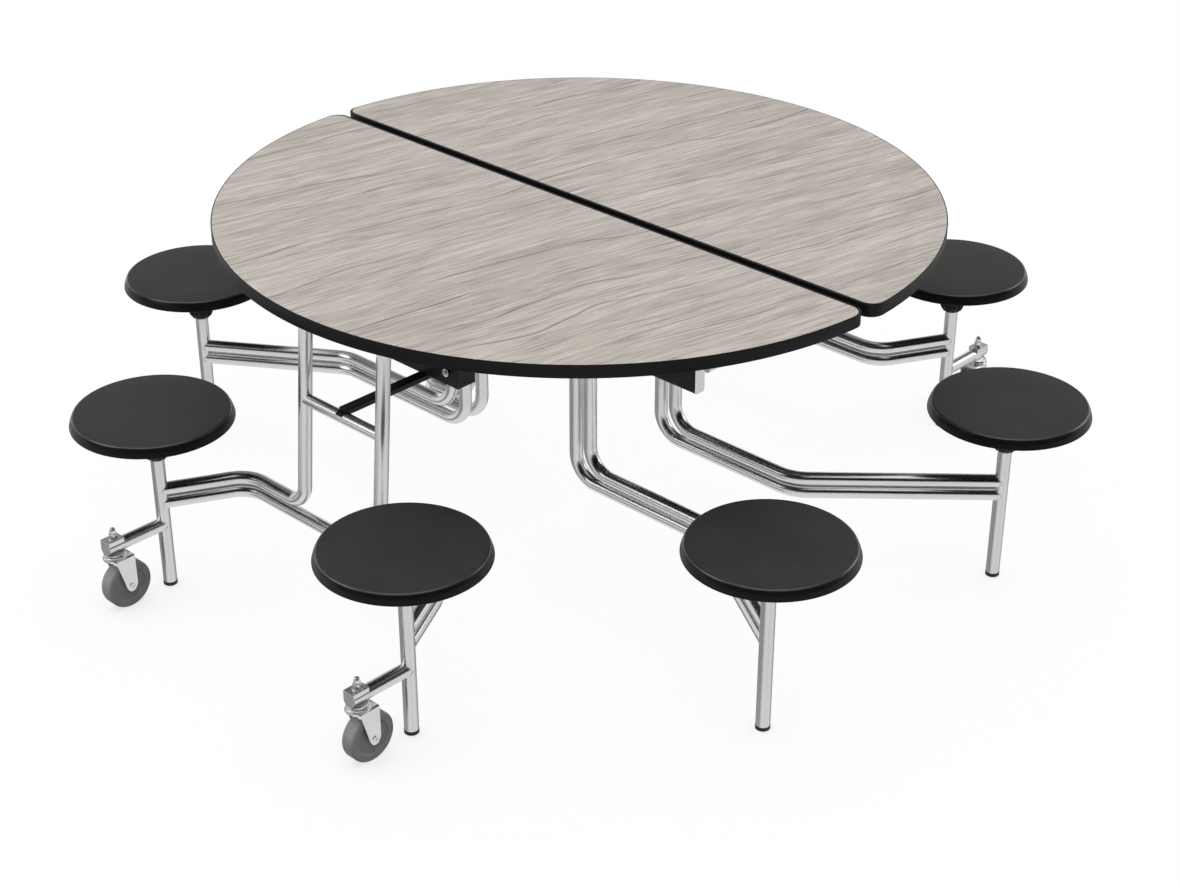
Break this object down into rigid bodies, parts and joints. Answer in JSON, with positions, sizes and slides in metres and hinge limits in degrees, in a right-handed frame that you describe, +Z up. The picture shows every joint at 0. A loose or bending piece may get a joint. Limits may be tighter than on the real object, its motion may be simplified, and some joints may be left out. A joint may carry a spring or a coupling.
{
  "type": "folding round table with swivel stools",
  "caption": "Round folding dining table on a chrome tube frame, with attached round swivel stools and casters for rolling it when folded.",
  "frame": {"origin": "floor level under the centre of the open table", "axes": "+Z up; Y along the gap between the two half tops; +X towards the half whose stools are numbered 5 to 8"},
  "size_m": [2.0312, 2.031, 0.722],
  "materials": {
    "chromed_tube": "polished chrome plate",
    "black_frame": "satin black powder coat",
    "zinc_fitting": "bright zinc plate",
    "seat_black": "fine satin moulded black",
    "edge_black": "satin black edge band",
    "glide_black": "moulded black glide",
    "board": "particle board",
    "laminate": "matt pale greige wood-grain laminate",
    "wheel_grey": "smooth grey wheel"
  },
  "bodies": {
    "near_legs": {"near_leg_tubes": "chromed_tube", "near_link_tube": "chromed_tube", "near_crossbar": "chromed_tube", "near_leg_hinge_tube": "chromed_tube", "near_support_strut": "black_frame", "near_support_bracket": "black_frame", "near_stool_posts": "chromed_tube", "near_seat_sockets": "seat_black", "near_foot_glides": "glide_black", "near_outriggers": "chromed_tube", "near_caster_stems": "zinc_fitting"},
    "near_top": {"near_top_core": "board", "near_top_laminate": "laminate", "near_edge_band": "edge_black", "near_hinge_saddles": "zinc_fitting"},
    "centre_frame": {"inner_arm_1": "chromed_tube", "inner_arm_4": "chromed_tube", "inner_arm_5": "chromed_tube", "inner_arm_8": "chromed_tube", "centre_stool_posts": "chromed_tube", "centre_seat_sockets": "seat_black", "centre_foot_glides": "glide_black", "centre_spine": "black_frame", "centre_spine_caps": "zinc_fitting", "centre_cross_channels": "black_frame", "centre_hinge_tubes": "chromed_tube", "centre_cross_tubes": "chromed_tube"},
    "far_top": {"far_top_core": "board", "far_top_laminate": "laminate", "far_edge_band": "edge_black", "far_hinge_saddles": "zinc_fitting"},
    "far_legs": {"far_leg_tubes": "chromed_tube", "far_link_tube": "chromed_tube", "far_crossbar": "chromed_tube", "far_leg_hinge_tube": "chromed_tube", "far_support_strut": "black_frame", "far_support_bracket": "black_frame", "far_stool_posts": "chromed_tube", "far_seat_sockets": "seat_black", "far_foot_glides": "glide_black", "far_outriggers": "chromed_tube", "far_caster_stems": "zinc_fitting"},
    "stool_seat_1": {"seat_1": "seat_black"},
    "stool_seat_2": {"seat_2": "seat_black"},
    "stool_seat_3": {"seat_3": "seat_black"},
    "stool_seat_4": {"seat_4": "seat_black"},
    "stool_seat_5": {"seat_5": "seat_black"},
    "stool_seat_6": {"seat_6": "seat_black"},
    "stool_seat_7": {"seat_7": "seat_black"},
    "stool_seat_8": {"seat_8": "seat_black"},
    "caster_2": {"caster_fork_2": "zinc_fitting"},
    "wheel_2": {"caster_wheel_2": "wheel_grey"},
    "caster_3": {"caster_fork_3": "zinc_fitting"},
    "wheel_3": {"caster_wheel_3": "wheel_grey"},
    "caster_6": {"caster_fork_6": "zinc_fitting"},
    "wheel_6": {"caster_wheel_6": "wheel_grey"},
    "caster_7": {"caster_fork_7": "zinc_fitting"},
    "wheel_7": {"caster_wheel_7": "wheel_grey"},
    "handle": {"release_handle": "chromed_tube"}
  },
  "joints": [
    {"name": "near_top_fold", "type": "hinge", "parent": "near_legs", "child": "near_top", "pos_m": [-0.64, 0, 0.666], "axis": [0, -1, 0], "range_deg": [0, 80]},
    {"name": "centre_fold", "type": "hinge", "parent": "near_top", "child": "centre_frame", "pos_m": [-0.18, 0, 0.666], "axis": [0, 1, 0], "range_deg": [0, 80]},
    {"name": "far_top_fold", "type": "hinge", "parent": "centre_frame", "child": "far_top", "pos_m": [0.18, 0, 0.666], "axis": [0, 1, 0], "range_deg": [0, 80]},
    {"name": "far_leg_fold", "type": "hinge", "parent": "far_top", "child": "far_legs", "pos_m": [0.64, 0, 0.666], "axis": [0, -1, 0], "range_deg": [0, 80]},
    {"name": "seat_1_swivel", "type": "hinge", "parent": "centre_frame", "child": "stool_seat_1", "pos_m": [-0.37827, 0.8496, 0.372], "axis": [0, 0, 1], "continuous": true},
    {"name": "seat_2_swivel", "type": "hinge", "parent": "near_legs", "child": "stool_seat_2", "pos_m": [-0.8496, 0.37827, 0.372], "axis": [0, 0, 1], "continuous": true},
    {"name": "seat_3_swivel", "type": "hinge", "parent": "near_legs", "child": "stool_seat_3", "pos_m": [-0.8496, -0.37827, 0.372], "axis": [0, 0, 1], "continuous": true},
    {"name": "seat_4_swivel", "type": "hinge", "parent": "centre_frame", "child": "stool_seat_4", "pos_m": [-0.37827, -0.8496, 0.372], "axis": [0, 0, 1], "continuous": true},
    {"name": "seat_5_swivel", "type": "hinge", "parent": "centre_frame", "child": "stool_seat_5", "pos_m": [0.37827, -0.8496, 0.372], "axis": [0, 0, 1], "continuous": true},
    {"name": "seat_6_swivel", "type": "hinge", "parent": "far_legs", "child": "stool_seat_6", "pos_m": [0.8496, -0.37827, 0.372], "axis": [0, 0, 1], "continuous": true},
    {"name": "seat_7_swivel", "type": "hinge", "parent": "far_legs", "child": "stool_seat_7", "pos_m": [0.8496, 0.37827, 0.372], "axis": [0, 0, 1], "continuous": true},
    {"name": "seat_8_swivel", "type": "hinge", "parent": "centre_frame", "child": "stool_seat_8", "pos_m": [0.37827, 0.8496, 0.372], "axis": [0, 0, 1], "continuous": true},
    {"name": "caster_2_swivel", "type": "hinge", "parent": "near_legs", "child": "caster_2", "pos_m": [-0.9746, 0.37827, 0.127], "axis": [0, 0, 1], "continuous": true},
    {"name": "wheel_2_spin", "type": "hinge", "parent": "caster_2", "child": "wheel_2", "pos_m": [-0.9566, 0.37827, 0.052], "axis": [0, 1, 0], "continuous": true},
    {"name": "caster_3_swivel", "type": "hinge", "parent": "near_legs", "child": "caster_3", "pos_m": [-0.9746, -0.37827, 0.127], "axis": [0, 0, 1], "continuous": true},
    {"name": "wheel_3_spin", "type": "hinge", "parent": "caster_3", "child": "wheel_3", "pos_m": [-0.9566, -0.37827, 0.052], "axis": [0, 1, 0], "continuous": true},
    {"name": "caster_6_swivel", "type": "hinge", "parent": "far_legs", "child": "caster_6", "pos_m": [0.9746, -0.37827, 0.127], "axis": [0, 0, 1], "continuous": true},
    {"name": "wheel_6_spin", "type": "hinge", "parent": "caster_6", "child": "wheel_6", "pos_m": [0.9566, -0.37827, 0.052], "axis": [0, 1, 0], "continuous": true},
    {"name": "caster_7_swivel", "type": "hinge", "parent": "far_legs", "child": "caster_7", "pos_m": [0.9746, 0.37827, 0.127], "axis": [0, 0, 1], "continuous": true},
    {"name": "wheel_7_spin", "type": "hinge", "parent": "caster_7", "child": "wheel_7", "pos_m": [0.9566, 0.37827, 0.052], "axis": [0, 1, 0], "continuous": true},
    {"name": "release_pull", "type": "slide", "parent": "centre_frame", "child": "handle", "axis": [0, -1, 0], "range_m": [0, 0.012]}
  ],
  "couplings": [
    {"joint": "centre_fold", "follows": "near_top_fold", "ratio": 1},
    {"joint": "far_top_fold", "follows": "near_top_fold", "ratio": 1},
    {"joint": "far_leg_fold", "follows": "near_top_fold", "ratio": 1}
  ]
}
